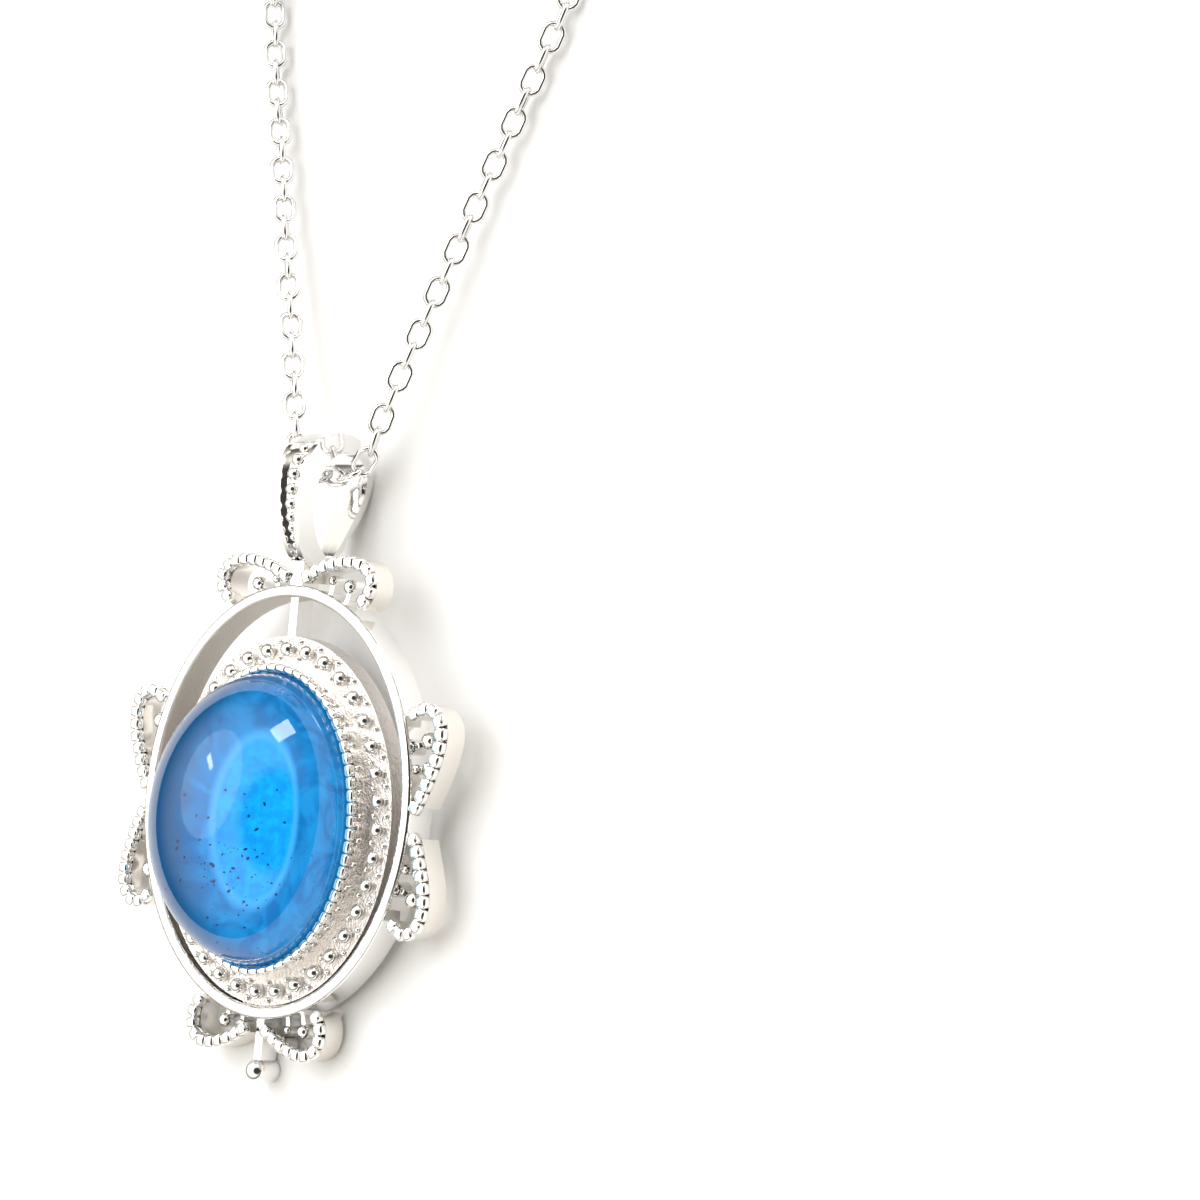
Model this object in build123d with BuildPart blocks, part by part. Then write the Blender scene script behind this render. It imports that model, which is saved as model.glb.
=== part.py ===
"""Pendant necklace: an oval cabochon in a beaded setting, a scrolled openwork frame, a bail, and a
cable chain with a spring-ring clasp.  It lies on a table (z = 0), face up, +Y towards the bail.

Everything on the pendant is drawn in the pendant's own plane, whose z = 0 is the back of the frame.
That plane leans back a little, because the deep bail and the two bottom scrolls carry the weight.
"""
from build123d import *
from math import asin, atan2, cos, degrees, hypot, pi, radians, sin, sqrt, tan
import os

os.makedirs("parts", exist_ok=True)

# ---------------------------------------------------------------- driving dimensions (millimetres)
LEAN = 4.89                     # angle between the pendant's plane and the table
LOW_POINT = 11.25               # from the frame's centre down to where the drop touches the table
PENDANT_Y = -1.88               # brings the pendant's own box to y = 0 at its middle

FRAME_A, FRAME_B = 7.58, 8.71   # outer half-axes of the oval frame
FRAME_WALL = 0.50
FRAME_DEPTH = 1.34

SETTING_Y = -0.75               # the setting sits low in the frame
STONE_A, STONE_B = 4.87, 5.87   # half-axes of the 10 x 12 stone
STONE_BASE, STONE_GIRDLE = 0.95, 1.60
STONE_DOME = 4.50
FIT_GAP = 0.03                  # stone in collet

COLLET_WALL = 0.30
COLLET_TOP = 1.74
WINDOW_A, WINDOW_B = 2.40, 3.30  # open back of the seat

MILGRAIN_COUNT = 70
MILGRAIN_R = 0.17

PLATE_A, PLATE_B = 6.48, 7.40
PLATE_BACK, PLATE_FRONT = 0.25, 1.09
BEAD_COUNT = 36
BEAD_A, BEAD_B, BEAD_R = 5.90, 6.86, 0.31
GRANULE_R = 0.13
GRANULE_OFFSET = 0.33           # from the bead row to the small grains inside and outside it

SCROLL_WIDTH = 0.44
SCROLL_TOP = 0.95
SCROLL_BEAD_R = 0.25
SCROLL_BEAD_Z = 1.04

DROP_R = 0.48
DROP_Y = -10.77

RAIL_HEIGHT, RAIL_WIDTH = 0.18, 0.24
BAIL_BEADS = [0.11, 0.12, 0.13, 0.15, 0.18, 0.22, 0.26, 0.28, 0.29, 0.28, 0.25]

CHAIN_D = 1.05                  # width of the cable chain over its links
CHAIN_AT_BAIL = (13.30, -0.50)  # height up the pendant and depth of the chain inside the bail
COIL_CENTRE = (0, 43.0)
COIL_R = 7.10                   # centre line of the outermost turn
TURNS_PER_LAYER = 2.5           # each strand winds in on one layer and out on the next

CLASP_CENTRE, CLASP_TURN = (-4.60, 56.30, 0.50), 70.0
CLASP_R, CLASP_TUBE, CLASP_BORE = 2.20, 0.50, 0.30
GATE_R = 0.28                   # slides in the bore
GATE_TRAVEL = 62.0
EYELET_R, EYELET_WIRE = 0.55, 0.18
JUMP_R, JUMP_WIRE = 0.80, 0.20
END_RING_CENTRE, END_RING_R, END_RING_WIRE = (5.75, 53.60, 0.30), 1.40, 0.26

pendant = Plane(
    origin=(0, PENDANT_Y, LOW_POINT * sin(radians(LEAN))),
    x_dir=(1, 0, 0),
    z_dir=(0, -sin(radians(LEAN)), cos(radians(LEAN))),
)


front_axis = Axis(pendant.origin, pendant.z_dir)


def save(part, name):
    """Label one finished sub-part and write its STEP file."""
    part.part.label = name
    export_step(part.part, f"parts/{name}.step")


# ---------------------------------------------------------------- outer frame
with BuildPart(pendant) as outer_frame:
    with BuildSketch(pendant):
        Ellipse(FRAME_A, FRAME_B)
        Ellipse(FRAME_A - FRAME_WALL, FRAME_B - FRAME_WALL, mode=Mode.SUBTRACT)
    extrude(amount=FRAME_DEPTH)
    fillet(outer_frame.faces().sort_by(front_axis)[-1].edges(), 0.15)
save(outer_frame, "outer_frame")

# ---------------------------------------------------------------- setting: plate, collet, seat
collet_a, collet_b = STONE_A + FIT_GAP + COLLET_WALL, STONE_B + FIT_GAP + COLLET_WALL

with BuildPart(pendant) as halo_plate:
    with BuildSketch(pendant.offset(PLATE_BACK)):
        with Locations((0, SETTING_Y)):
            Ellipse(PLATE_A, PLATE_B)
            Ellipse(collet_a, collet_b, mode=Mode.SUBTRACT)
    extrude(amount=PLATE_FRONT - PLATE_BACK)
save(halo_plate, "halo_plate")

with BuildPart(pendant) as collet:
    with BuildSketch(pendant):
        with Locations((0, SETTING_Y)):
            Ellipse(collet_a, collet_b)
            Ellipse(STONE_A + FIT_GAP, STONE_B + FIT_GAP, mode=Mode.SUBTRACT)
    extrude(amount=COLLET_TOP)
save(collet, "collet")

with BuildPart(pendant) as stone_seat:
    with BuildSketch(pendant):
        with Locations((0, SETTING_Y)):
            Ellipse(STONE_A + FIT_GAP, STONE_B + FIT_GAP)
            Ellipse(WINDOW_A, WINDOW_B, mode=Mode.SUBTRACT)
    extrude(amount=STONE_BASE)
save(stone_seat, "stone_seat")

# ---------------------------------------------------------------- stone
dome = split(
    scale(Sphere(1), by=(STONE_A, STONE_B, STONE_DOME)),
    bisect_by=Plane.XY,
    keep=Keep.TOP,
)
with BuildPart(pendant) as cabochon:
    with BuildSketch(pendant.offset(STONE_BASE)):
        with Locations((0, SETTING_Y)):
            Ellipse(STONE_A, STONE_B)
    extrude(amount=STONE_GIRDLE - STONE_BASE)
    chamfer(cabochon.faces().sort_by(front_axis)[0].edges(), 0.2)
    with Locations((0, SETTING_Y, STONE_GIRDLE)):
        add(dome)
save(cabochon, "cabochon")


# ---------------------------------------------------------------- rows of beads
def dome_bead(radius, sink):
    """A bead whose lowest part is cut flat, so that it sits on a face sink below its centre."""
    return split(Sphere(radius), bisect_by=Plane.XY.offset(-sink), keep=Keep.TOP)


def oval_stations(a, b, count, phase=0.0):
    """Evenly spaced points of an oval round the setting's centre."""
    oval = Edge.make_ellipse(a, b)
    points = [oval @ ((i + phase) / count) for i in range(count)]
    return [(p.X, p.Y + SETTING_Y) for p in points]


bead = dome_bead(BEAD_R, 0.14)
with BuildPart(pendant) as halo_beads:
    with Locations([(x, y, PLATE_FRONT + 0.14) for x, y in oval_stations(BEAD_A, BEAD_B, BEAD_COUNT)]):
        add(bead)
save(halo_beads, "halo_beads")

granule = dome_bead(GRANULE_R, 0.04)
with BuildPart(pendant) as halo_granules:
    for side in (-GRANULE_OFFSET, GRANULE_OFFSET):
        stations = oval_stations(BEAD_A + side, BEAD_B + side, BEAD_COUNT, phase=0.5)
        with Locations([(x, y, PLATE_FRONT + 0.04) for x, y in stations]):
            add(granule)
save(halo_granules, "halo_granules")

grain = dome_bead(MILGRAIN_R, 0.06)
rim_a, rim_b = collet_a - COLLET_WALL / 2, collet_b - COLLET_WALL / 2
with BuildPart(pendant) as milgrain_rim:
    with Locations([(x, y, COLLET_TOP + 0.06) for x, y in oval_stations(rim_a, rim_b, MILGRAIN_COUNT)]):
        add(grain)
save(milgrain_rim, "milgrain_rim")

# ---------------------------------------------------------------- ties between frame and setting
PIN_WIDTH = 0.40
frame_inner_b = FRAME_B - FRAME_WALL
plate_top, plate_bottom = SETTING_Y + PLATE_B, SETTING_Y - PLATE_B

with BuildPart(pendant) as top_pin:
    with BuildSketch(pendant.offset(PLATE_BACK)):
        with Locations((0, (plate_top + frame_inner_b) / 2)):
            Rectangle(PIN_WIDTH, frame_inner_b - plate_top)
    extrude(amount=PLATE_FRONT - PLATE_BACK)
save(top_pin, "top_pin")

with BuildPart(pendant) as bottom_bridge:
    with BuildSketch(pendant.offset(PLATE_BACK)):
        with Locations((0, SETTING_Y)):
            Ellipse(PLATE_A + 0.2, PLATE_B + 0.2)
            Ellipse(PLATE_A, PLATE_B, mode=Mode.SUBTRACT)
        Ellipse(FRAME_A - FRAME_WALL, frame_inner_b, mode=Mode.INTERSECT)
        with Locations((0, plate_bottom)):
            Rectangle(2.4, 1.0, mode=Mode.INTERSECT)
    extrude(amount=0.5)
save(bottom_bridge, "bottom_bridge")

# ---------------------------------------------------------------- eight scrolls
# centre line of each right-hand scroll, from the frame out and round back to the frame
SCROLLS = {
    "top": [(0.62, 9.02), (1.50, 9.48), (2.75, 9.69), (3.95, 9.36), (4.18, 8.72), (3.72, 8.02)],
    "side_upper": [(7.80, 0.35), (8.25, 1.32), (8.66, 2.45), (8.62, 3.58), (7.85, 4.08), (7.16, 3.82)],
    "side_lower": [(7.86, -0.98), (8.25, -2.05), (8.54, -3.30), (8.36, -4.15), (7.62, -4.60), (6.98, -4.28)],
    "bottom": [(0.55, -9.10), (1.50, -9.60), (2.75, -9.86), (3.46, -9.45), (3.57, -8.75), (3.30, -8.22)],
}


def scroll_line(points, side):
    """The smooth centre line of a scroll; side is 1 on the right and -1 on the left."""
    return Edge.make_spline([Vector(side * x, y, 0) for x, y in points])


def bead_places(line, pitch):
    """Evenly spaced points along a centre line, as close to pitch as fits."""
    count = max(2, round(line.length / pitch))
    return [line @ ((i + 0.5) / count) for i in range(count)]


wire_bead = dome_bead(SCROLL_BEAD_R, SCROLL_BEAD_Z - SCROLL_TOP)
for scroll_name, outline in SCROLLS.items():
    for side_name, side in (("right", 1), ("left", -1)):
        with BuildPart(pendant) as scroll:
            with BuildSketch(pendant):
                with BuildLine():
                    Spline(*[(side * x, y) for x, y in outline])
                trace(line_width=SCROLL_WIDTH)
                Ellipse(FRAME_A, FRAME_B, mode=Mode.SUBTRACT)
            extrude(amount=SCROLL_TOP)
        save(scroll, f"scroll_{scroll_name}_{side_name}")

        places = bead_places(scroll_line(outline, side), 2 * SCROLL_BEAD_R + 0.03)
        with BuildPart(pendant) as scroll_milgrain:
            with Locations([(p.X, p.Y, SCROLL_BEAD_Z) for p in places]):
                add(wire_bead)
        save(scroll_milgrain, f"milgrain_{scroll_name}_{side_name}")

# ---------------------------------------------------------------- granules inside the scrolls
# place on the right-hand side and radius; each stands on the frame by a short stalk
GRANULES = {
    "top": [(2.63, 8.75, 0.30), (1.62, 8.98, 0.20)],
    "upper": [(7.72, 2.88, 0.36), (7.72, 1.85, 0.22)],
    "lower": [(7.60, -3.30, 0.36), (7.62, -2.30, 0.22)],
    "bottom": [(2.26, -8.98, 0.30), (1.35, -9.02, 0.18)],
}

for group, grains in GRANULES.items():
    with BuildPart(pendant) as granules:
        for side in (1, -1):
            for x, y, r in grains:
                stalk_turn = degrees(atan2(y, side * x))
                with BuildSketch(pendant):
                    with Locations((side * x, y)):
                        Circle(r)
                    with Locations(Location((side * x * 0.96, y * 0.96, 0), (0, 0, stalk_turn))):
                        Rectangle(0.80, 0.20)
                    Ellipse(FRAME_A, FRAME_B, mode=Mode.SUBTRACT)
                extrude(amount=0.60)
                with Locations((side * x, y, 0.60)):
                    Sphere(r, arc_size1=0, align=None)
    save(granules, f"granules_{group}")

# ---------------------------------------------------------------- drop below the frame
with BuildPart(pendant) as drop_ball:
    with BuildSketch(pendant):
        with Locations((0, DROP_Y)):
            Circle(DROP_R)
    extrude(amount=0.80)
    with Locations((0, DROP_Y, 0.80)):
        Sphere(DROP_R, arc_size1=0, align=None)
save(drop_ball, "drop_ball")

with BuildPart(pendant) as drop_stem:
    with BuildSketch(pendant):
        with Locations((0, DROP_Y)):
            Rectangle(0.42, 3.0, align=(Align.CENTER, Align.MIN))
            Circle(DROP_R, mode=Mode.SUBTRACT)
        Ellipse(FRAME_A, FRAME_B, mode=Mode.SUBTRACT)
    extrude(amount=0.85)
save(drop_stem, "drop_stem")

# ---------------------------------------------------------------- bail
# side view in (up the pendant, forwards) from the foot, up the front, over the top, down the back
BAIL_OUTER = [(9.35, 0.55), (10.10, 1.45), (11.30, 1.88), (12.60, 1.97), (13.90, 1.74), (14.75, 0.90),
              (15.00, -0.25), (14.60, -1.37), (13.60, -2.02), (12.60, -2.01), (11.30, -1.54), (9.90, -0.60)]
BAIL_BAND = [(9.52, 0.52), (10.20, 1.26), (11.33, 1.69), (12.60, 1.78), (13.80, 1.56), (14.57, 0.80),
             (14.80, -0.25), (14.45, -1.25), (13.55, -1.87), (12.60, -1.86), (11.35, -1.40), (10.05, -0.48)]
BAIL_INNER = [(9.98, -0.02), (10.70, 0.72), (11.80, 1.17), (12.90, 1.12), (13.80, 0.60), (14.25, -0.25),
              (14.00, -1.10), (13.30, -1.58), (12.40, -1.50), (11.10, -0.95)]
BAIL_HALF_WIDTHS = [(9.00, 0.34), (10.20, 0.45), (11.60, 0.66), (13.20, 0.80), (15.40, 0.84)]

side_plane = Plane(origin=pendant.origin, x_dir=pendant.y_dir, z_dir=pendant.x_dir)

with BuildSketch(pendant.offset(-3)) as bail_front:
    with BuildLine():
        right = Spline(*[(w, y) for y, w in BAIL_HALF_WIDTHS])
        left = Spline(*[(-w, y) for y, w in BAIL_HALF_WIDTHS])
        Line(right @ 0, left @ 0)
        Line(right @ 1, left @ 1)
    make_face()

with BuildSketch(pendant.offset(-3)) as bail_channel:
    with BuildLine():
        right = Spline(*[(w - RAIL_WIDTH, y) for y, w in BAIL_HALF_WIDTHS])
        left = Spline(*[(RAIL_WIDTH - w, y) for y, w in BAIL_HALF_WIDTHS])
        Line(right @ 0, left @ 0)
        Line(right @ 1, left @ 1)
    make_face()

with BuildPart() as bail_loop:
    with BuildSketch(side_plane):
        with BuildLine():
            Spline(*BAIL_BAND, periodic=True)
        make_face()
        with BuildLine():
            Spline(*BAIL_INNER, periodic=True)
        make_face(mode=Mode.SUBTRACT)
    extrude(amount=1, both=True)
    extrude(bail_front.sketch, amount=6, mode=Mode.INTERSECT)
save(bail_loop, "bail_loop")

with BuildPart() as bail_rails:
    with BuildSketch(side_plane):
        with BuildLine():
            Spline(*BAIL_OUTER, periodic=True)
        make_face()
        with BuildLine():
            Spline(*BAIL_BAND, periodic=True)
        make_face(mode=Mode.SUBTRACT)
        with Locations((9, -1.0)):
            Rectangle(8, 4, align=(Align.MIN, Align.MIN), mode=Mode.INTERSECT)
    extrude(amount=1, both=True)
    extrude(bail_front.sketch, amount=6, mode=Mode.INTERSECT)
    extrude(bail_channel.sketch, amount=6, mode=Mode.SUBTRACT)
save(bail_rails, "bail_rails")

channel_floor = Edge.make_spline([Vector(y, z, 0) for y, z in BAIL_BAND], periodic=True)
bail_bead_places, along = [], 0.45
for radius in BAIL_BEADS:
    along += radius
    bail_bead_places.append((channel_floor @ (along / channel_floor.length), radius))
    along += radius + 0.05

with BuildPart() as bail_beads:
    for p, radius in bail_bead_places:
        with Locations(pendant.from_local_coords(Vector(0, p.X, p.Y))):
            Sphere(radius)
    add(bail_loop.part, mode=Mode.SUBTRACT)
save(bail_beads, "bail_beads")

with BuildPart() as bail_foot:
    with BuildSketch(pendant.offset(0.15)):
        with Locations((0, 8.4)):
            Rectangle(0.66, 1.45, align=(Align.CENTER, Align.MIN))
        Ellipse(FRAME_A, FRAME_B, mode=Mode.SUBTRACT)
    extrude(amount=0.95)
    with BuildSketch(side_plane):
        with BuildLine():
            Spline(*BAIL_OUTER, periodic=True)
        make_face()
    extrude(amount=1, both=True, mode=Mode.SUBTRACT)
save(bail_foot, "bail_foot")

# ---------------------------------------------------------------- chain
# each strand runs from the middle of the bail, down to the table, away in a V, and on to the coil
bail_point = pendant.from_local_coords(Vector(0, *CHAIN_AT_BAIL))
BY, BZ = round(bail_point.Y, 2), round(bail_point.Z, 2)
LOW = CHAIN_D / 2               # height of the centre line of a chain that lies on the table
RIGHT_STRAND = [
    (0, BY, BZ), (1.15, BY, BZ), (1.95, 12.35, 1.65), (2.30, 13.90, 1.70), (3.35, 17.60, 1.30),
    (5.71, 25.00, 0.75), (8.40, 32.00, LOW), (9.00, 36.00, LOW), (8.00, 39.80, LOW), (COIL_R, 42.60, LOW),
]
LEFT_STRAND = [
    (0, BY, BZ), (-1.20, BY, BZ), (-2.15, 12.15, 1.65), (-2.70, 13.90, 1.70), (-4.14, 17.60, 1.30),
    (-6.89, 25.00, 0.75), (-9.30, 32.30, LOW), (-9.35, 36.10, 0.80), (-8.50, 39.40, 2.70),
    (-COIL_R, 42.60, 5 * LOW),
]
RIGHT_TAIL = [
    (COIL_R, 43.40, 3 * LOW), (7.25, 46.00, 1.62), (7.30, 48.60, 1.35), (7.00, 50.60, 0.60),
    (6.20, 52.05, LOW),
]
LEFT_TAIL = [
    (-COIL_R, 43.40, 7 * LOW), (-7.25, 46.20, 3.70), (-7.35, 48.30, 3.00), (-7.10, 49.90, 1.20),
    (-6.28, 51.65, LOW),
]


def corner_radii(route):
    """The largest arc that the two runs beside each corner leave room for."""
    points = [Vector(*p) for p in route]
    radii = []
    for a, b, c in zip(points, points[1:], points[2:]):
        turn = radians((b - a).get_angle(c - b))
        radii.append(0.45 * min((b - a).length, (c - b).length) / tan(turn / 2))
    return radii


chain_length = 0
for name, route in (
    ("chain_right", RIGHT_STRAND), ("chain_left", LEFT_STRAND),
    ("chain_right_tail", RIGHT_TAIL), ("chain_left_tail", LEFT_TAIL),
):
    radii = corner_radii(route)
    with BuildPart() as tube:
        with BuildLine() as path:
            FilletPolyline(*route, radius=radii)
        with BuildSketch(path.line ^ 0):
            Circle(CHAIN_D / 2)
        sweep()
    save(tube, name)
    full = pi * CHAIN_D ** 2 / 4 * path.wire().length
    chain_length += path.wire().length
    print(f"{name}: radii {[round(r, 2) for r in radii]}, length {path.wire().length:.1f},",
          f"volume {tube.part.volume:.3f} of {full:.3f}")

coil_inner = COIL_R - TURNS_PER_LAYER * CHAIN_D
for name, base in (("chain_coil_right", 0), ("chain_coil_left", 2 * CHAIN_D)):
    with BuildPart() as coil:
        with BuildSketch(Plane.XY.offset(base)):
            with Locations(COIL_CENTRE):
                Circle(COIL_R + CHAIN_D / 2)
                Circle(coil_inner - CHAIN_D / 2, mode=Mode.SUBTRACT)
        extrude(amount=2 * CHAIN_D)
    save(coil, name)
    chain_length += 2 * TURNS_PER_LAYER * pi * (COIL_R + coil_inner)
print(f"chain length {chain_length:.1f}")

# ---------------------------------------------------------------- spring ring clasp and end ring
clasp_axis = Axis(CLASP_CENTRE, (0, 0, 1))


def around_clasp(turn):
    """The upright plane through the clasp's axis at a turn from its own x, with x pointing outwards."""
    a = radians(CLASP_TURN + turn)
    return Plane(origin=CLASP_CENTRE, x_dir=(cos(a), sin(a), 0), z_dir=(sin(a), -cos(a), 0))


def beyond_clasp(reach):
    """A point on the line from the clasp's centre through its eyelet."""
    a = radians(CLASP_TURN + 180)
    return (CLASP_CENTRE[0] + reach * cos(a), CLASP_CENTRE[1] + reach * sin(a), CLASP_CENTRE[2])


EYELET_REACH = CLASP_R + CLASP_TUBE + EYELET_R - 0.10
with BuildPart() as clasp_body:
    with BuildSketch(around_clasp(90)):
        with Locations((CLASP_R, 0)):
            Circle(CLASP_TUBE)
    revolve(axis=clasp_axis, revolution_arc=305)
    with BuildSketch(around_clasp(180)) as eyelet:
        with Locations((EYELET_REACH, 0.25)):
            Circle(EYELET_R + EYELET_WIRE)
            Circle(EYELET_R - EYELET_WIRE, mode=Mode.SUBTRACT)
    extrude(amount=EYELET_WIRE, both=True)
    with BuildSketch(around_clasp(90)):
        with Locations((CLASP_R, 0)):
            Circle(CLASP_BORE)
    revolve(axis=clasp_axis, revolution_arc=150, mode=Mode.SUBTRACT)
    with BuildSketch(around_clasp(16)):
        with Locations((CLASP_R, 0)):
            Circle(CLASP_BORE)
    revolve(axis=clasp_axis, revolution_arc=25, mode=Mode.SUBTRACT)
    with BuildSketch(around_clasp(94)):
        with Locations((CLASP_R + 0.5, 0)):
            Rectangle(0.9, 0.46)
    revolve(axis=clasp_axis, revolution_arc=80, mode=Mode.SUBTRACT)
save(clasp_body, "clasp_body")

with BuildPart() as clasp_gate:
    with BuildSketch(around_clasp(24)):
        with Locations((CLASP_R, 0)):
            Circle(GATE_R)
    revolve(axis=clasp_axis, revolution_arc=130)
    with BuildSketch(Plane(origin=around_clasp(102).origin, z_dir=around_clasp(102).x_dir).offset(CLASP_R)):
        Circle(0.19)
    extrude(amount=CLASP_TUBE + 0.35)
save(clasp_gate, "clasp_gate")

for name, centre, radius, wire in (
    ("jump_ring", beyond_clasp(EYELET_REACH + JUMP_R), JUMP_R, JUMP_WIRE),
    ("end_ring", END_RING_CENTRE, END_RING_R, END_RING_WIRE),
):
    with BuildPart() as ring:
        with BuildSketch(Plane(origin=centre, x_dir=(1, 0, 0), z_dir=(0, -1, 0))):
            with Locations((radius, 0)):
                Circle(wire)
        revolve(axis=Axis(centre, (0, 0, 1)), revolution_arc=360)
    save(ring, name)
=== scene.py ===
"""A pendant necklace on a white table: an oval blue cabochon in a beaded silver setting, with a
scrolled open frame, a deep bail and a fine cable chain wound into a coil behind the view."""
import random
from math import cos, pi, radians, sin

import bmesh
import bpy
from mathutils import Matrix, Vector


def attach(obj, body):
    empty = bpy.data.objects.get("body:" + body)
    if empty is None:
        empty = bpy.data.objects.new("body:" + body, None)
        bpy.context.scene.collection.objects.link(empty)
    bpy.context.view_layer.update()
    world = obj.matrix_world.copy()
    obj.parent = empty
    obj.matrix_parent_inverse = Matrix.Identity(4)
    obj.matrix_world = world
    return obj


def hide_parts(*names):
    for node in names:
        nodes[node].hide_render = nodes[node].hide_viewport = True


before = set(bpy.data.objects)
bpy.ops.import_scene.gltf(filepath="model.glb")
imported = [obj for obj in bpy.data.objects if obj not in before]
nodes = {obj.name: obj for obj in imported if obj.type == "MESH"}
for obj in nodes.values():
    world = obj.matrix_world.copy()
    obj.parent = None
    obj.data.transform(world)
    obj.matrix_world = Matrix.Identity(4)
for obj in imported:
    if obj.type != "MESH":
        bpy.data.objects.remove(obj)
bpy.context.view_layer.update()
MM = 0.001

# ---------------------------------------------------------------- sizes, in millimetres
LEAN, LOW_POINT, PENDANT_Y = 4.89, 11.25, -1.88
SETTING_Y = -0.75
STONE_A, STONE_B = 4.87, 5.87
STONE_BASE, STONE_GIRDLE, STONE_DOME = 0.95, 1.60, 4.50
FRAME_A, FRAME_B, FRAME_WALL, FRAME_DEPTH = 7.58, 8.71, 0.50, 1.34
WINDOW_X, WINDOW_A, WINDOW_B = -0.25, 1.55, 2.75  # the painted light on the stone's back, over its open window
BACK_Z = 1.45                   # the stone's painted back
CHAMFER = 0.2                   # round the stone's base
RIM_FRONT, SCROLL_FRONT = 1.74, 0.95    # where the two kinds of milgrain stand
MILGRAIN_PITCH = 0.50

LINK_WIRE = 0.24                # the chain's wire, across
LINK_WIDTH, LINK_LENGTH = 1.05, 1.41
LINK_PITCH = LINK_LENGTH - 2 * LINK_WIRE

# the pendant's own plane, leaning back on its deep bail
lean = radians(LEAN)
pendant = Matrix.Translation((0, PENDANT_Y * MM, LOW_POINT * sin(lean) * MM)) @ Matrix.Rotation(lean, 4, "X")
table_to_pendant = pendant.inverted()


# ---------------------------------------------------------------- camera
def add_camera():
    """Seen from the pendant's right, square across it and about 45 degrees off its face."""
    turn = Matrix.Rotation(radians(-4.976), 4, "Z") @ Matrix.Rotation(radians(-3.046), 4, "X") \
        @ Matrix.Rotation(radians(-41.053), 4, "Y")
    away = Vector((-13.14, -8.04, -143.82)) * MM
    face = Matrix.Translation((0, 0, (FRAME_DEPTH + 0.01) * MM))
    camera = bpy.data.cameras.new("camera")
    camera.lens, camera.sensor_width = 107.8, 36
    camera.clip_start, camera.clip_end = 0.005, 20
    holder = bpy.data.objects.new("camera", camera)
    bpy.context.scene.collection.objects.link(holder)
    holder.matrix_world = pendant @ face @ turn.inverted() @ Matrix.Translation(-away)
    bpy.context.scene.camera = holder
    return holder


camera = add_camera()


# ---------------------------------------------------------------- nodes of a material
def colour(hex_code):
    """sRGB hex to linear."""
    parts = [int(hex_code[i:i + 2], 16) / 255 for i in (1, 3, 5)]
    return tuple(c / 12.92 if c <= 0.04045 else ((c + 0.055) / 1.055) ** 2.4 for c in parts) + (1,)


def add_node(tree, kind, links=None, values=None, **settings):
    """One node: its settings, the values of its sockets, and what is linked into them."""
    node = tree.nodes.new(kind)
    for name, value in settings.items():
        setattr(node, name, value)

    def entry(name):
        if isinstance(name, int):
            return node.inputs[name]
        return next(s for s in node.inputs if s.name == name and s.enabled)

    for name, value in (values or {}).items():
        entry(name).default_value = value
    for name, source in (links or {}).items():
        tree.links.new(source, entry(name))
    return node


def socket(mix):
    """The colour that a colour Mix node gives."""
    return next(s for s in mix.outputs if s.type == "RGBA")


def new_material(name):
    material = bpy.data.materials.new(name)
    material.use_nodes = True
    tree = material.node_tree
    tree.nodes.clear()
    out = add_node(tree, "ShaderNodeOutputMaterial")
    return material, tree, out


def silver(name, tone, roughness, grit_mm, grit_height_mm, smear=0.5):
    """Rhodium-plated cast silver: cold white metal; grit is its finest surface texture."""
    material, tree, out = new_material(name)
    place = add_node(tree, "ShaderNodeTexCoord").outputs["Object"]
    grit = add_node(tree, "ShaderNodeTexNoise", {"Vector": place},
                    {"Scale": 1 / (grit_mm * MM), "Detail": 3.0, "Roughness": 0.6})
    cloud = add_node(tree, "ShaderNodeTexNoise", {"Vector": place}, {"Scale": 1 / (2.5 * MM), "Detail": 2.0})
    rough = add_node(tree, "ShaderNodeMapRange", {"Value": cloud.outputs["Fac"]},
                     {"From Min": 0.3, "From Max": 0.7, "To Min": roughness * (1 - smear),
                      "To Max": roughness * (1 + smear)})
    bump = add_node(tree, "ShaderNodeBump", {"Height": grit.outputs["Fac"]},
                    {"Strength": 1.0, "Distance": grit_height_mm * MM})
    shader = add_node(tree, "ShaderNodeBsdfPrincipled",
                      {"Roughness": rough.outputs["Result"], "Normal": bump.outputs["Normal"]},
                      {"Base Color": colour(tone), "Metallic": 1.0})
    tree.links.new(shader.outputs[0], out.inputs["Surface"])
    return material


# each finish: tone, roughness, grain of its grit and the grit's height in millimetres, smear
# polished: crisp reflections, very slightly rippled
POLISHED = silver("rhodium_polished_silver", "#F5F4F2", 0.08, 0.9, 0.0006)
# burnished beads: near mirrors, so each carries a small dark dot
BEAD_POLISH = silver("rhodium_burnished_beads", "#F6F5F3", 0.045, 0.5, 0.0002)
# cast ground: fine sparkle between the beads
CAST_GROUND = silver("rhodium_cast_ground", "#E4DEDA", 0.24, 0.15, 0.075, 0.3)
# scrolls: soft, warm and a little dull on their flat sides
SCROLL_SILVER = silver("rhodium_scroll_silver", "#EFEAE4", 0.20, 0.30, 0.004, 0.3)
# drawn wire: smooth, with a bright line along each link
WIRE = silver("rhodium_drawn_wire", "#F1F0EF", 0.12, 0.8, 0.0010)
# clasp: smooth, with a soft sheen
CLASP_SILVER = silver("rhodium_clasp_silver", "#F0EFEE", 0.15, 0.9, 0.0012)


def dress(node, *materials):
    """Give a CAD node its finish."""
    slots = nodes[node].data.materials
    slots.clear()
    for material in materials:
        slots.append(material)


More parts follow.
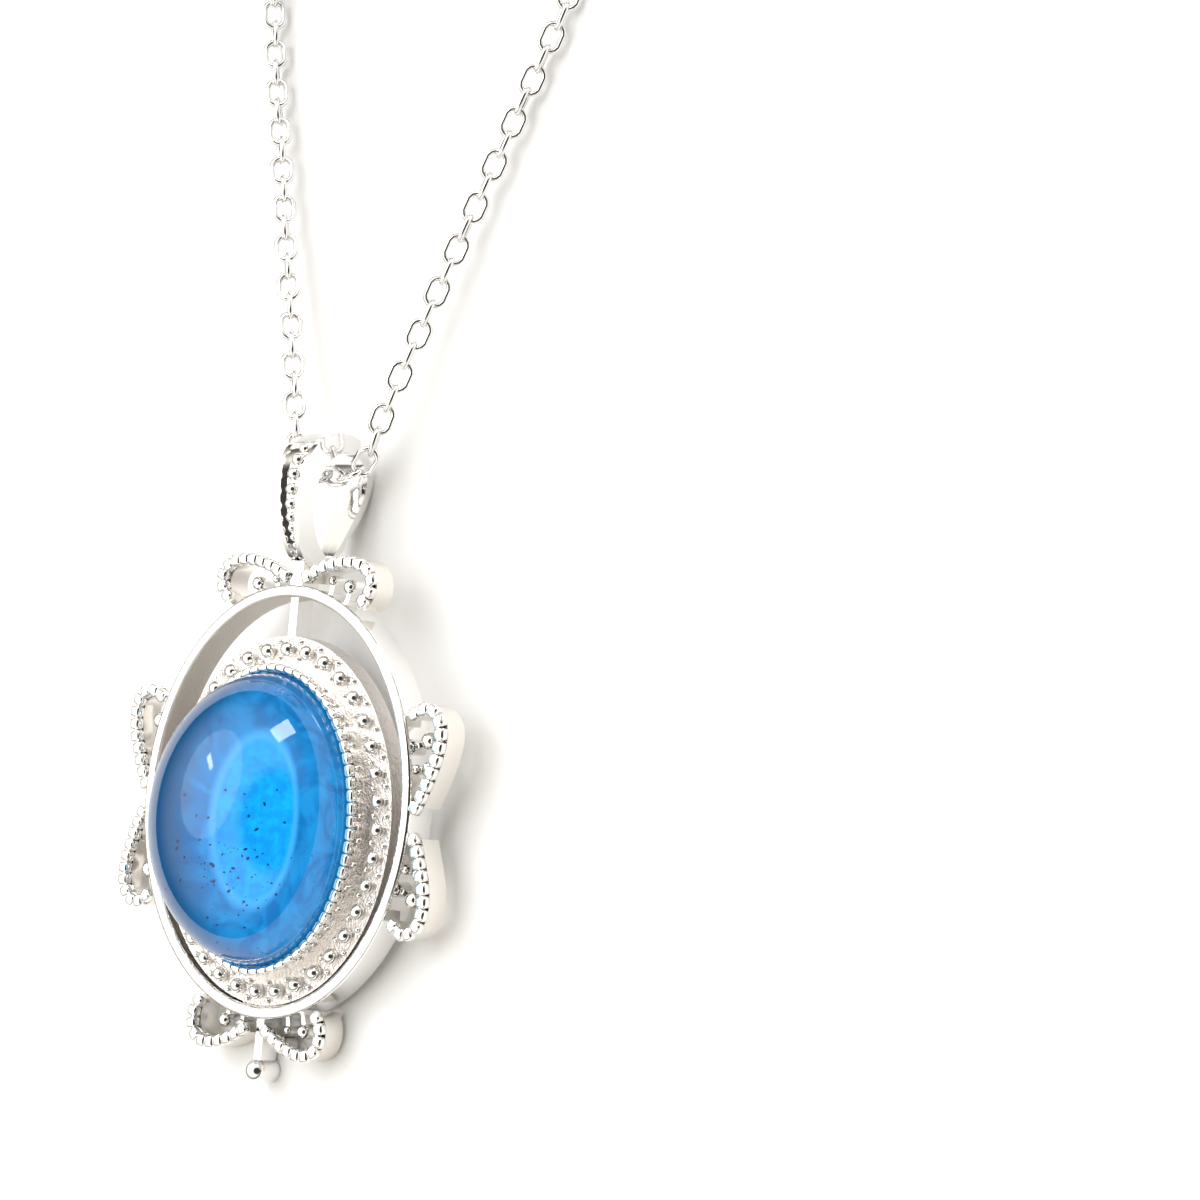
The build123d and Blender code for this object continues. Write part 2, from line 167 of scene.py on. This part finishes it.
for node in nodes:
    if node.startswith(("milgrain", "granules")) or node in ("halo_beads", "halo_granules", "bail_beads"):
        dress(node, BEAD_POLISH)
    elif node in ("halo_plate", "stone_seat", "bottom_bridge"):
        dress(node, CAST_GROUND)
    elif node.startswith("scroll"):
        dress(node, SCROLL_SILVER)
    elif node.startswith("clasp"):
        dress(node, CLASP_SILVER)
    elif node in ("jump_ring", "end_ring"):
        dress(node, WIRE)
    else:
        dress(node, POLISHED)


def frame_silver():
    """The oval frame: polished rim and outer wall, sandblasted inside."""
    material, tree, out = new_material("rhodium_frame_silver")
    place = add_node(tree, "ShaderNodeTexCoord").outputs["Object"]
    # the oval's own coordinates, where its outer edge is at radius 1
    moved = add_node(tree, "ShaderNodeMapping", {"Vector": place},
                     {"Location": (0, -PENDANT_Y * MM, 0)})
    oval = add_node(tree, "ShaderNodeVectorMath", {0: moved.outputs["Vector"]},
                    {1: (1 / (FRAME_A * MM), 1 / (FRAME_B * MM), 0)}, operation="MULTIPLY")
    radius = add_node(tree, "ShaderNodeVectorMath", {0: oval.outputs["Vector"]}, operation="LENGTH")
    inside = add_node(tree, "ShaderNodeMapRange", {"Value": radius.outputs["Value"]},
                      {"From Min": 0.936, "From Max": 0.946, "To Min": 1.0, "To Max": 0.0})
    blast = add_node(tree, "ShaderNodeTexNoise", {"Vector": place}, {"Scale": 1 / (0.08 * MM), "Detail": 3.0})
    rough = add_node(tree, "ShaderNodeMapRange", {"Value": inside.outputs["Result"]},
                     {"To Min": 0.07, "To Max": 0.40})
    height = add_node(tree, "ShaderNodeMath", {0: blast.outputs["Fac"], 1: inside.outputs["Result"]},
                      operation="MULTIPLY")
    bump = add_node(tree, "ShaderNodeBump", {"Height": height.outputs[0]},
                    {"Strength": 1.0, "Distance": 0.030 * MM})
    tone = add_node(tree, "ShaderNodeMix", {"Factor": inside.outputs["Result"]},
                    {"A": colour("#F5F4F2"), "B": colour("#E0DAD2")}, data_type="RGBA")
    shader = add_node(tree, "ShaderNodeBsdfPrincipled",
                      {"Base Color": socket(tone), "Roughness": rough.outputs["Result"],
                       "Normal": bump.outputs["Normal"]}, {"Metallic": 1.0})
    tree.links.new(shader.outputs[0], out.inputs["Surface"])
    return material


dress("outer_frame", frame_silver())


# ---------------------------------------------------------------- pieces
def finish_piece(bm, name, material, body):
    """Make a piece from a finished bmesh, at the origin, riding on its body."""
    mesh = bpy.data.meshes.new(name)
    bm.to_mesh(mesh)
    bm.free()
    for face in mesh.polygons:
        face.use_smooth = True
    mesh.materials.append(material)
    piece = bpy.data.objects.new(name, mesh)
    bpy.context.scene.collection.objects.link(piece)
    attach(piece, body)
    return piece


# ---------------------------------------------------------------- stone
def blue_stone():
    """Translucent blue stone, high polish: light goes in, and comes back through it blue."""
    material, tree, out = new_material("translucent_blue_stone")
    place = add_node(tree, "ShaderNodeTexCoord").outputs["Object"]
    cloud = add_node(tree, "ShaderNodeTexNoise", {"Vector": place},
                     {"Scale": 1 / (2.2 * MM), "Detail": 4.0, "Roughness": 0.6})
    tint = add_node(tree, "ShaderNodeMix", {"Factor": cloud.outputs["Fac"]},
                    {"A": colour("#B8ECFA"), "B": colour("#D8F6FE")}, data_type="RGBA")
    shader = add_node(tree, "ShaderNodeBsdfPrincipled", {"Base Color": socket(tint)},
                      {"Roughness": 0.03, "IOR": 1.54, "Specular IOR Level": 0.2, "Transmission Weight": 1.0})
    depth = add_node(tree, "ShaderNodeVolumeAbsorption", None,
                     {"Color": colour("#3AD2FF"), "Density": 60.0})
    tree.links.new(shader.outputs[0], out.inputs["Surface"])
    tree.links.new(depth.outputs[0], out.inputs["Volume"])
    return material


def oval_mask(tree, place, centre, a, b, soft):
    """1 inside an oval of the pendant's face, 0 outside; soft is the width of its edge, in ovals."""
    moved = add_node(tree, "ShaderNodeVectorMath", {0: place},
                     {1: (-centre[0] * MM, (-centre[1] - PENDANT_Y) * MM, 0)}, operation="ADD")
    oval = add_node(tree, "ShaderNodeVectorMath", {0: moved.outputs["Vector"]},
                    {1: (1 / (a * MM), 1 / (b * MM), 0)}, operation="MULTIPLY")
    radius = add_node(tree, "ShaderNodeVectorMath", {0: oval.outputs["Vector"]}, operation="LENGTH")
    return add_node(tree, "ShaderNodeMapRange", {"Value": radius.outputs["Value"]},
                    {"From Min": 1 - soft, "From Max": 1 + soft, "To Min": 1.0, "To Max": 0.0},
                    interpolation_type="SMOOTHSTEP").outputs["Result"]


def stone_back():
    """A frosted back, painted in rings: a bright oval of painted light where the open window lets light
    through, a pale edge round it that is a painted reflection of the window's rim, and painted shade, a
    darker blue, outside. It glows a little, a painted glow for the light that a real stone gathers. A painted
    stand-in."""
    material, tree, out = new_material("frosted_stone_back_with_painted_light")
    place = add_node(tree, "ShaderNodeTexCoord").outputs["Object"]
    mottle = add_node(tree, "ShaderNodeTexNoise", {"Vector": place},
                      {"Scale": 1 / (0.45 * MM), "Detail": 5.0, "Roughness": 0.65})
    wisps = add_node(tree, "ShaderNodeTexNoise", {"Vector": place},
                     {"Scale": 1 / (1.3 * MM), "Detail": 3.0, "Distortion": 1.5})
    centre = (WINDOW_X, SETTING_Y - 0.15)
    # painted light: the bright oval where light comes through the seat's open window
    lit = oval_mask(tree, place, centre, WINDOW_A * 0.86, WINDOW_B * 0.90, 0.06)
    # painted reflection: a pale ring where the window's bright rim shows in the stone
    painted_rim_reflection = oval_mask(tree, place, centre, WINDOW_A, WINDOW_B, 0.08)
    # painted shade: darker blue outside this oval, its centre 0.7 mm right so the left side is darker
    seat = oval_mask(tree, place, (0.7, SETTING_Y), 3.2, 4.7, 0.14)
    spots = add_node(tree, "ShaderNodeMapRange", {"Value": mottle.outputs["Fac"]},
                     {"From Min": 0.40, "From Max": 0.62})
    veils = add_node(tree, "ShaderNodeMapRange", {"Value": wisps.outputs["Fac"]},
                     {"From Min": 0.38, "From Max": 0.62})
    painted_window_light_tone = add_node(tree, "ShaderNodeMix", {"Factor": spots.outputs["Result"]},
                           {"A": colour("#0AA2E4"), "B": colour("#12C0FF")}, data_type="RGBA")
    seat_tone = add_node(tree, "ShaderNodeMix", {"Factor": veils.outputs["Result"]},
                         {"A": colour("#0A7CBA"), "B": colour("#1C9CD6")}, data_type="RGBA")
    shaded = add_node(tree, "ShaderNodeMix", {"Factor": seat, "B": socket(seat_tone)},
                      {"A": colour("#02608F")}, data_type="RGBA")
    with_painted_rim_reflection = add_node(tree, "ShaderNodeMix", {"Factor": painted_rim_reflection, "A": socket(shaded)},
                      {"B": colour("#58BDF5")}, data_type="RGBA")
    tone = add_node(tree, "ShaderNodeMix", {"Factor": lit, "A": socket(with_painted_rim_reflection), "B": socket(painted_window_light_tone)},
                    data_type="RGBA")
    # painted glow: the back gives off light in its own colours, though it is no lamp
    shader = add_node(tree, "ShaderNodeBsdfPrincipled",
                      {"Base Color": socket(tone), "Emission Color": socket(tone)},
                      {"Roughness": 0.7, "Specular IOR Level": 0.2, "Emission Strength": 0.42})
    tree.links.new(shader.outputs[0], out.inputs["Surface"])
    return material


def add_stone():
    """The clear domed part of the cabochon, with a short girdle and a chamfered base."""
    bm = bmesh.new()
    bmesh.ops.create_uvsphere(bm, u_segments=160, v_segments=96, radius=1)
    bmesh.ops.bisect_plane(bm, geom=bm.verts[:] + bm.edges[:] + bm.faces[:], plane_co=(0, 0, 0),
                           plane_no=(0, 0, -1), clear_outer=True)
    rim = [e for e in bm.edges if e.is_boundary]
    girdle = bmesh.ops.extrude_edge_only(bm, edges=rim)["geom"]
    low = [v for v in girdle if isinstance(v, bmesh.types.BMVert)]
    bmesh.ops.scale(bm, vec=(STONE_A, STONE_B, STONE_DOME), verts=bm.verts)
    bmesh.ops.translate(bm, vec=(0, 0, STONE_BASE - STONE_GIRDLE + CHAMFER), verts=low)
    edge = [e for e in bm.edges if e.is_boundary]
    chamfer = bmesh.ops.extrude_edge_only(bm, edges=edge)["geom"]
    low = [v for v in chamfer if isinstance(v, bmesh.types.BMVert)]
    bmesh.ops.translate(bm, vec=(0, 0, -CHAMFER), verts=low)
    bmesh.ops.scale(bm, vec=(1 - CHAMFER / STONE_A, 1 - CHAMFER / STONE_B, 1), verts=low)
    bmesh.ops.contextual_create(bm, geom=[e for e in bm.edges if e.is_boundary])
    bmesh.ops.translate(bm, vec=(0, SETTING_Y, STONE_GIRDLE), verts=bm.verts)
    bmesh.ops.scale(bm, vec=(MM, MM, MM), verts=bm.verts)
    bmesh.ops.transform(bm, matrix=pendant, verts=bm.verts)
    bmesh.ops.recalc_face_normals(bm, faces=bm.faces)
    piece = finish_piece(bm, "cabochon_stone", blue_stone(), "pendant")
    piece.data.set_sharp_from_angle(angle=radians(35))
    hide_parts("cabochon")


def add_stone_back():
    """A flat disc just inside the stone, which carries its colour with painted light, reflection and shade.
    """
    bm = bmesh.new()
    bmesh.ops.create_circle(bm, cap_ends=True, segments=96, radius=1)
    bmesh.ops.scale(bm, vec=(STONE_A - 0.1, STONE_B - 0.1, 1), verts=bm.verts)
    bmesh.ops.translate(bm, vec=(0, SETTING_Y, BACK_Z), verts=bm.verts)
    bmesh.ops.scale(bm, vec=(MM, MM, MM), verts=bm.verts)
    bmesh.ops.transform(bm, matrix=pendant, verts=bm.verts)
    finish_piece(bm, "stone_back", stone_back(), "pendant")


def add_flecks():
    """Small dark flecks inside the stone, thickest low in the middle."""
    chance = random.Random(7)
    dark, tree, out = new_material("dark_mineral_fleck")
    shader = add_node(tree, "ShaderNodeBsdfPrincipled", None,
                      {"Base Color": colour("#0B4C86"), "Roughness": 0.6})
    tree.links.new(shader.outputs[0], out.inputs["Surface"])
    bm = bmesh.new()
    for _ in range(110):
        x, y = chance.gauss(-0.4, 1.3), chance.gauss(-1.7, 1.7)
        if (x / 4.0) ** 2 + (y / 5.0) ** 2 > 1:
            continue
        depth = chance.uniform(0.1, 1.4) * (1 - (x / 4.6) ** 2)
        size = chance.choice((0.018, 0.025, 0.035, 0.05))
        fleck = bmesh.ops.create_icosphere(bm, subdivisions=1, radius=size)["verts"]
        bmesh.ops.scale(bm, vec=(1, chance.uniform(0.6, 2.0), 0.6), verts=fleck)
        bmesh.ops.rotate(bm, matrix=Matrix.Rotation(chance.uniform(0, pi), 3, "Z"), verts=fleck)
        bmesh.ops.translate(bm, vec=(x, SETTING_Y + y, BACK_Z + depth), verts=fleck)
    bmesh.ops.scale(bm, vec=(MM, MM, MM), verts=bm.verts)
    bmesh.ops.transform(bm, matrix=pendant, verts=bm.verts)
    finish_piece(bm, "stone_flecks", dark, "pendant")


add_stone()
add_stone_back()
add_flecks()


# ---------------------------------------------------------------- milgrain cells
def cell_mesh(length, width, height):
    """One rounded cell of a milgrain edge: a soft-edged block, long way along X, its base at z = 0."""
    bm = bmesh.new()
    bmesh.ops.create_cube(bm, size=1)
    bmesh.ops.scale(bm, vec=(length, width, height), verts=bm.verts)
    bmesh.ops.bevel(bm, geom=bm.edges[:], offset=0.34 * min(length, width, height), segments=3,
                    profile=0.5, affect="EDGES", material=-1)
    bmesh.ops.translate(bm, vec=(0, 0, height / 2), verts=bm.verts)
    mesh = bpy.data.meshes.new("cell")
    bm.to_mesh(mesh)
    bm.free()
    return mesh


def cells_along(name, lines, width, height, sink, stands_for):
    """Rows of cells side by side along lines of pendant points, each turned to follow its line."""
    bm = bmesh.new()
    for line in lines:
        points = [Vector(p) for p in line]
        length = sum((b - a).length for a, b in zip(points, points[1:]))
        count = round(length / MILGRAIN_PITCH)
        step = length / count
        template = cell_mesh(step * 0.97, width, height)
        for place, way in along(points, [(i + 0.5) * step for i in range(count)]):
            start = len(bm.verts)
            bm.from_mesh(template)
            bm.verts.ensure_lookup_table()
            side = Vector((0, 0, 1)).cross(way)
            turn = Matrix((way, side, Vector((0, 0, 1)))).transposed().to_4x4()
            bmesh.ops.transform(bm, matrix=Matrix.Translation(place - Vector((0, 0, sink))) @ turn,
                                verts=bm.verts[start:])
        bpy.data.meshes.remove(template)
    bmesh.ops.scale(bm, vec=(MM, MM, MM), verts=bm.verts)
    bmesh.ops.transform(bm, matrix=pendant, verts=bm.verts)
    piece = finish_piece(bm, name, BEAD_POLISH, "pendant")
    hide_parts(*stands_for)


# ---------------------------------------------------------------- chain
BY, BZ = 11.41, 1.60
LOW = 0.525                     # half the chain's width: a chain that lies on the table
COIL_Y, COIL_R, COIL_PITCH, TURNS = 43.0, 7.10, 1.05, 2.5
RIGHT_STRAND = [
    (0, BY, BZ), (1.15, BY, BZ), (1.95, 12.35, 1.65), (2.30, 13.90, 1.70), (3.35, 17.60, 1.30),
    (5.71, 25.00, 0.75), (8.40, 32.00, LOW), (9.00, 36.00, LOW), (8.00, 39.80, LOW),
]
LEFT_STRAND = [
    (0, BY, BZ), (-1.20, BY, BZ), (-2.15, 12.15, 1.65), (-2.70, 13.90, 1.70), (-4.14, 17.60, 1.30),
    (-6.89, 25.00, 0.75), (-9.30, 32.30, LOW), (-9.35, 36.10, 0.80), (-8.50, 39.40, 2.70),
]
RIGHT_TAIL = [
    (7.25, 46.00, 1.62), (7.30, 48.60, 1.35), (7.00, 50.60, 0.60), (6.20, 52.05, LOW),
]
LEFT_TAIL = [
    (-7.25, 46.20, 3.70), (-7.35, 48.30, 3.00), (-7.10, 49.90, 1.20), (-6.28, 51.65, LOW),
]


def coil_points(side, base):
    """A strand's turns: inwards on one layer and out again on the next, from one side of the coil."""
    steps = 14
    points = []
    for i in range(int(2 * TURNS * steps) + 1):
        turn = i / steps
        inward = min(turn, 2 * TURNS - turn)
        radius = COIL_R - COIL_PITCH * inward
        rise = min(max((turn - TURNS) * 6 + 0.5, 0), 1)
        angle = 2 * pi * turn
        points.append((side * radius * cos(angle), COIL_Y + radius * sin(angle), base + COIL_PITCH * rise))
    return points


def spline_points(name, route):
    """A smooth line with the route's points as its control points, and the points along it."""
    curve = bpy.data.curves.new(name, "CURVE")
    curve.dimensions = "3D"
    line = curve.splines.new("NURBS")
    line.points.add(len(route) - 1)
    for point, place in zip(line.points, route):
        point.co = (place[0] * MM, place[1] * MM, place[2] * MM, 1)
    line.order_u = 3
    line.use_endpoint_u = True
    line.resolution_u = 12
    holder = bpy.data.objects.new(name, curve)
    bpy.context.scene.collection.objects.link(holder)
    bpy.context.view_layer.update()
    mesh = bpy.data.meshes.new_from_object(holder)
    points = [v.co.copy() for v in mesh.vertices]
    bpy.data.objects.remove(holder)
    bpy.data.meshes.remove(mesh)
    return points


def along(points, distances):
    """Places and directions at the given distances along a line of points."""
    found, walked, i = [], 0.0, 0
    for distance in distances:
        while i < len(points) - 2 and walked + (points[i + 1] - points[i]).length < distance:
            walked += (points[i + 1] - points[i]).length
            i += 1
        run = points[i + 1] - points[i]
        found.append((points[i] + run * min((distance - walked) / run.length, 1.0), run.normalized()))
    return found


def link_template():
    """One long oval link of round wire, lying in its own XY plane, long way along X."""
    bm = bmesh.new()
    wire = bmesh.ops.create_circle(bm, segments=6, radius=LINK_WIRE / 2 * MM)["verts"]
    bmesh.ops.rotate(bm, matrix=Matrix.Rotation(pi / 2, 3, "X"), verts=wire)
    bmesh.ops.translate(bm, vec=((LINK_WIDTH - LINK_WIRE) / 2 * MM, 0, 0), verts=wire)
    bmesh.ops.spin(bm, geom=bm.verts[:] + bm.edges[:], axis=(0, 0, 1), cent=(0, 0, 0), angle=2 * pi,
                   steps=14, use_merge=True)
    bmesh.ops.remove_doubles(bm, verts=bm.verts, dist=1e-7)
    stretch = (LINK_LENGTH - LINK_WIDTH) / 2 * MM
    for side in (-1, 1):
        half = [v for v in bm.verts if side * v.co.x > 1e-6]
        bmesh.ops.translate(bm, vec=(side * stretch, 0, 0), verts=half)
    bmesh.ops.recalc_face_normals(bm, faces=bm.faces)
    mesh = bpy.data.meshes.new("link_template")
    bm.to_mesh(mesh)
    bm.free()
    return mesh


def add_chain(name, route, first, stands_for):
    """A strand of interlocked links along a route, each a quarter turn from the last."""
    points = spline_points(name, route)
    length = sum((b - a).length for a, b in zip(points, points[1:]))
    count = int((length / MM - first) / LINK_PITCH) + 1
    stations = along(points, [(first + i * LINK_PITCH) * MM for i in range(count)])
    template = link_template()
    bm = bmesh.new()
    for i, (place, way) in enumerate(stations):
        across = way.cross(Vector((0, 0, 1))).normalized()
        up = across.cross(way)
        wobble = 0.12 * sin(2.1 * i) + 0.08 * sin(0.7 * i)
        roll = radians(45 if i % 2 else -45) + wobble
        side = across * cos(roll) + up * sin(roll)
        turn = Matrix((way, side, way.cross(side))).transposed().to_4x4()
        start = len(bm.verts)
        bm.from_mesh(template)
        bm.verts.ensure_lookup_table()
        bmesh.ops.transform(bm, matrix=Matrix.Translation(place) @ turn, verts=bm.verts[start:])
    bpy.data.meshes.remove(template)
    piece = finish_piece(bm, name, WIRE, "chain")
    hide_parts(*stands_for)


add_chain(
    "chain_links_right", RIGHT_STRAND + coil_points(1, LOW) + RIGHT_TAIL, 0.0,
    ("chain_right", "chain_coil_right", "chain_right_tail"))
add_chain(
    "chain_links_left", LEFT_STRAND + coil_points(-1, 5 * LOW) + LEFT_TAIL, LINK_PITCH,
    ("chain_left", "chain_coil_left", "chain_left_tail"))


# ---------------------------------------------------------------- beaded edges
def smooth_line(name, points, z):
    """A smooth line through the pendant's plane, in millimetres."""
    found = spline_points(name, [(x, y, z) for x, y in points])
    return [p / MM for p in found]


RIM_A, RIM_B = STONE_A + 0.20, STONE_B + 0.20
rim = [(RIM_A * cos(i * pi / 90), SETTING_Y + RIM_B * sin(i * pi / 90), RIM_FRONT) for i in range(181)]
cells_along("milgrain_cells_rim", [rim], 0.34, 0.34, 0.02, ["milgrain_rim"])

SCROLLS = {
    "top": [
        (0.40, 8.98), (0.95, 9.24), (1.55, 9.52), (2.75, 9.76),
        (3.90, 9.58), (4.35, 8.95), (4.12, 8.35), (3.70, 8.00),
    ],
    "side_upper": [
        (7.62, 0.02), (7.98, 0.62), (8.27, 1.32), (8.72, 2.45),
        (8.74, 3.62), (8.10, 4.20), (7.40, 3.98), (7.05, 3.75),
    ],
    "side_lower": [
        (7.66, -0.76), (7.98, -1.32), (8.25, -2.05), (8.64, -3.30),
        (8.46, -4.30), (7.75, -4.76), (7.15, -4.45), (6.90, -4.20),
    ],
    "bottom": [
        (0.45, -9.02), (0.95, -9.32), (1.50, -9.66), (2.80, -9.99),
        (3.58, -9.62), (3.68, -8.80), (3.42, -8.32), (3.20, -8.15),
    ],
}
scroll_lines = [
    smooth_line("scroll_line", [(side * x, y) for x, y in points], SCROLL_FRONT)
    for points in SCROLLS.values() for side in (1, -1)
]
cells_along("milgrain_cells_scrolls", scroll_lines, 0.52, 0.42, 0.04,
            [f"milgrain_{scroll}_{side}" for scroll in SCROLLS for side in ("right", "left")])


# ---------------------------------------------------------------- table, light
def add_table():
    """A matt white table top."""
    bm = bmesh.new()
    bmesh.ops.create_grid(bm, x_segments=1, y_segments=1, size=3)
    mesh = bpy.data.meshes.new("table")
    bm.to_mesh(mesh)
    bm.free()
    material, tree, out = new_material("matt_white_table")
    shader = add_node(tree, "ShaderNodeBsdfPrincipled", None,
                      {"Base Color": (0.95, 0.95, 0.95, 1), "Roughness": 0.8, "Specular IOR Level": 0.2})
    tree.links.new(shader.outputs[0], out.inputs["Surface"])
    mesh.materials.append(material)
    table = bpy.data.objects.new("table", mesh)
    bpy.context.scene.collection.objects.link(table)


def patch(tree, way, direction, inner, outer):
    """1 in a round patch of the surroundings, fading to 0; inner and outer are its half angles."""
    direction = Vector(direction).normalized()
    toward = add_node(tree, "ShaderNodeVectorMath", {0: way}, {1: direction}, operation="DOT_PRODUCT")
    return add_node(tree, "ShaderNodeMapRange", {"Value": toward.outputs["Value"]},
                    {"From Min": cos(radians(outer)), "From Max": cos(radians(inner))},
                    interpolation_type="SMOOTHSTEP").outputs["Result"]


def add_surroundings():
    """A white room, a little warm, with a dark patch where the viewer stands."""
    world = bpy.data.worlds.new("white_room")
    world.use_nodes = True
    tree = world.node_tree
    tree.nodes.clear()
    way = add_node(tree, "ShaderNodeTexCoord").outputs["Generated"]
    split = add_node(tree, "ShaderNodeSeparateXYZ", {"Vector": way})
    height = add_node(tree, "ShaderNodeMapRange", {"Value": split.outputs["Z"]},
                      {"From Min": 0.05, "From Max": 0.6, "To Min": 0.12, "To Max": 1.35},
                      interpolation_type="SMOOTHSTEP")
    viewer = camera.matrix_world.translation
    dark = patch(tree, way, viewer, 26, 40)
    level = add_node(tree, "ShaderNodeMapRange", {"Value": dark}, {"To Min": 1.0, "To Max": 0.04})
    strength = add_node(tree, "ShaderNodeMath", {0: height.outputs["Result"], 1: level.outputs["Result"]},
                        operation="MULTIPLY")
    sky = add_node(tree, "ShaderNodeBackground", {"Strength": strength.outputs[0]},
                   {"Color": (1.0, 0.955, 0.88, 1)})
    out = add_node(tree, "ShaderNodeOutputWorld")
    tree.links.new(sky.outputs[0], out.inputs["Surface"])
    bpy.context.scene.world = world


def add_light(name, kind, place, target, energy, **settings):
    """A light at a place, in metres, turned towards its target."""
    light = bpy.data.lights.new(name, kind)
    light.energy = energy
    for key, value in settings.items():
        setattr(light, key, value)
    holder = bpy.data.objects.new(name, light)
    bpy.context.scene.collection.objects.link(holder)
    place, target = Vector(place), Vector(target)
    holder.location = place
    holder.rotation_euler = (target - place).to_track_quat("-Z", "Y").to_euler()


add_table()
add_surroundings()
# daylight from the left, over the top of the pendant
add_light("daylight", "SUN", (-0.35, 0.2, 0.8), (0, 0, 0), 1.1, angle=radians(60), color=(0.90, 0.95, 1.0))
# a window beyond the chain, and a smaller pane on the left
add_light("window", "AREA", (0.16, 0.40, 0.17), (0, 0, 0.003), 0.55,
          shape="RECTANGLE", size=0.11, size_y=0.16)
add_light("pane", "AREA", (-0.24, 0.19, 0.42), (0, 0, 0.003), 0.10,
          shape="RECTANGLE", size=0.03, size_y=0.10)
bpy.context.scene.view_settings.view_transform = "Standard"
